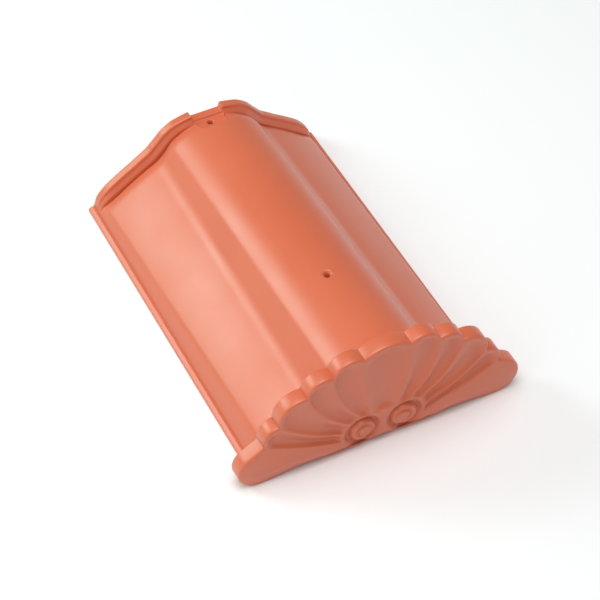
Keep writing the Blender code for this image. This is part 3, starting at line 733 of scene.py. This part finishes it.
bump = add_node(tree, "ShaderNodeBump", [("Height", grain, "Fac")],
                [("Strength", GRAIN_STRENGTH), ("Distance", GRAIN_RISE_MM * MM)])
connect(tree, shader, [("Base Color", speckled, "Result"), ("Roughness", satin, "Result"),
                       ("Normal", bump, "Normal")])
print("material", engobe.name)

# %% Bare clay of the underside
# Uncoated clay is dry and rough, so it has no highlight, and its grit breaks up the colour.
GRIT_MM, GRIT_STRENGTH, GRIT_RISE_MM = 1.5, 0.5, 0.3
bare, tree, shader = new_material("bare fired clay", Roughness=0.85, IOR=1.45)
place = add_node(tree, "ShaderNodeTexCoord")
grit = add_node(tree, "ShaderNodeTexNoise", [("Vector", place, "Object")],
                [("Scale", 1.0 / (GRIT_MM * MM)), ("Detail", 4.0)])
tone = add_node(tree, "ShaderNodeMix", [("Factor", grit, "Fac")],
                [("A", linear("#C8704C")), ("B", linear("#DB8A63"))], data_type="RGBA")
bump = add_node(tree, "ShaderNodeBump", [("Height", grit, "Fac")],
                [("Strength", GRIT_STRENGTH), ("Distance", GRIT_RISE_MM * MM)])
connect(tree, shader, [("Base Color", tone, "Result"), ("Normal", bump, "Normal")])
print("material", bare.name)

# %% Which faces are bare
# The engobe also reaches a little way under the vault behind the plate.
BARE_FROM, FACES_DOWN = 9.2, -0.08
mesh.materials.append(engobe)
mesh.materials.append(bare)
face_normals = np.empty(3 * len(mesh.polygons))
face_centres = np.empty(3 * len(mesh.polygons))
mesh.polygons.foreach_get("normal", face_normals)
mesh.polygons.foreach_get("center", face_centres)
face_normals = face_normals.reshape(-1, 3)
face_centres = face_centres.reshape(-1, 3)
bare_start = vertices[:, 1].min() + (PLATE_THICKNESS + BARE_FROM) * MM
underside = (face_normals[:, 2] < FACES_DOWN) & (face_centres[:, 1] > bare_start)
mesh.polygons.foreach_set("material_index", underside.astype(np.int32))
print("bare faces", int(underside.sum()))

# %% The tile stands for its solid
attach(tile, "root")
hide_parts("hip_starter_tile")

# %% [markdown]
# ## Studio
# A seamless white floor, as in a small product studio. The slightly cool key light stands high behind
# the tile on its left, a weaker one stands at its front left, and a broad one hangs overhead. A dim
# even surround fills the shadows. One sun lamp would be simpler, but its highlights would be hard.

# %% Floor
# Matt white paper: it scatters the light evenly and keeps only a soft shadow where the tile stands.
FLOOR_REACH = 6.0
floor_signs = ((-1, -1), (1, -1), (1, 1), (-1, 1))
floor_mesh = bpy.data.meshes.new("floor")
floor_mesh.from_pydata([(x * FLOOR_REACH, y * FLOOR_REACH, 0) for x, y in floor_signs],
                       [], [(0, 1, 2, 3)])
floor = bpy.data.objects.new("floor", floor_mesh)
bpy.context.scene.collection.objects.link(floor)
paper = new_material("white paper sweep", Roughness=0.9, Base_Color=linear("#F8F8F8"))[0]
floor_mesh.materials.append(paper)
print("floor", 2 * FLOOR_REACH, "m wide")

# %% Lights
from mathutils import Matrix, Vector

COOL_WHITE, SURROUND = "#E6FFFA", 0.30


def area_light(name, place, target, size, power, colour="#FFFFFF"):
    """A square area light that looks at a target."""
    light = bpy.data.lights.new(name, "AREA")
    light.shape = "SQUARE"
    light.size = size
    light.energy = power
    light.color = linear(colour)[:3]
    lamp = bpy.data.objects.new(name, light)
    bpy.context.scene.collection.objects.link(lamp)
    lamp.location = place
    lamp.rotation_euler = (Vector(target) - Vector(place)).to_track_quat("-Z", "Y").to_euler()
    print("light", name, power, "W")


area_light("key", (-1.50, 1.31, 1.16), (0.0, 0.0, 0.05), size=0.9, power=20.0, colour=COOL_WHITE)
area_light("side", (-1.9, -0.9, 0.7), (0.0, 0.0, 0.05), size=1.0, power=5.0, colour=COOL_WHITE)
area_light("overhead", (-0.25, -0.25, 2.4), (0.0, 0.0, 0.0), size=1.9, power=45.0)
world = bpy.data.worlds.new("studio")
bpy.context.scene.world = world
world.use_nodes = True
background = world.node_tree.nodes["Background"]
background.inputs["Color"].default_value = (1.0, 1.0, 1.0, 1.0)
background.inputs["Strength"].default_value = SURROUND

# %% [markdown]
# ## Camera
# A long lens from the front left, high up. Its place is worked out from two angles and a distance,
# and it is rolled a little, as a hand-held camera would be.

# %% Camera
AZIMUTH, ELEVATION, ROLL = -30.231, 48.771, 3.592
DISTANCE, LENS, SENSOR = 2.6656, 162.81, 36.0
TARGET = Vector((0.01428, 0.00260, -0.00762))
azimuth, elevation = math.radians(AZIMUTH), math.radians(ELEVATION)
back = Vector((math.sin(azimuth) * math.cos(elevation),
               -math.cos(azimuth) * math.cos(elevation),
               math.sin(elevation)))
right = (-back).cross(Vector((0, 0, 1))).normalized()
up = right.cross(-back)
roll = math.radians(ROLL)
right, up = (right * math.cos(roll) + up * math.sin(roll),
             up * math.cos(roll) - right * math.sin(roll))
camera_data = bpy.data.cameras.new("camera")
camera_data.lens = LENS
camera_data.sensor_width = SENSOR
camera = bpy.data.objects.new("camera", camera_data)
bpy.context.scene.collection.objects.link(camera)
turned = Matrix((right, up, back)).transposed().to_4x4()
camera.matrix_world = Matrix.Translation(TARGET + back * DISTANCE) @ turned
bpy.context.scene.camera = camera
bpy.context.scene.view_settings.view_transform = "Standard"
print("camera", LENS, "mm lens", DISTANCE, "m away")
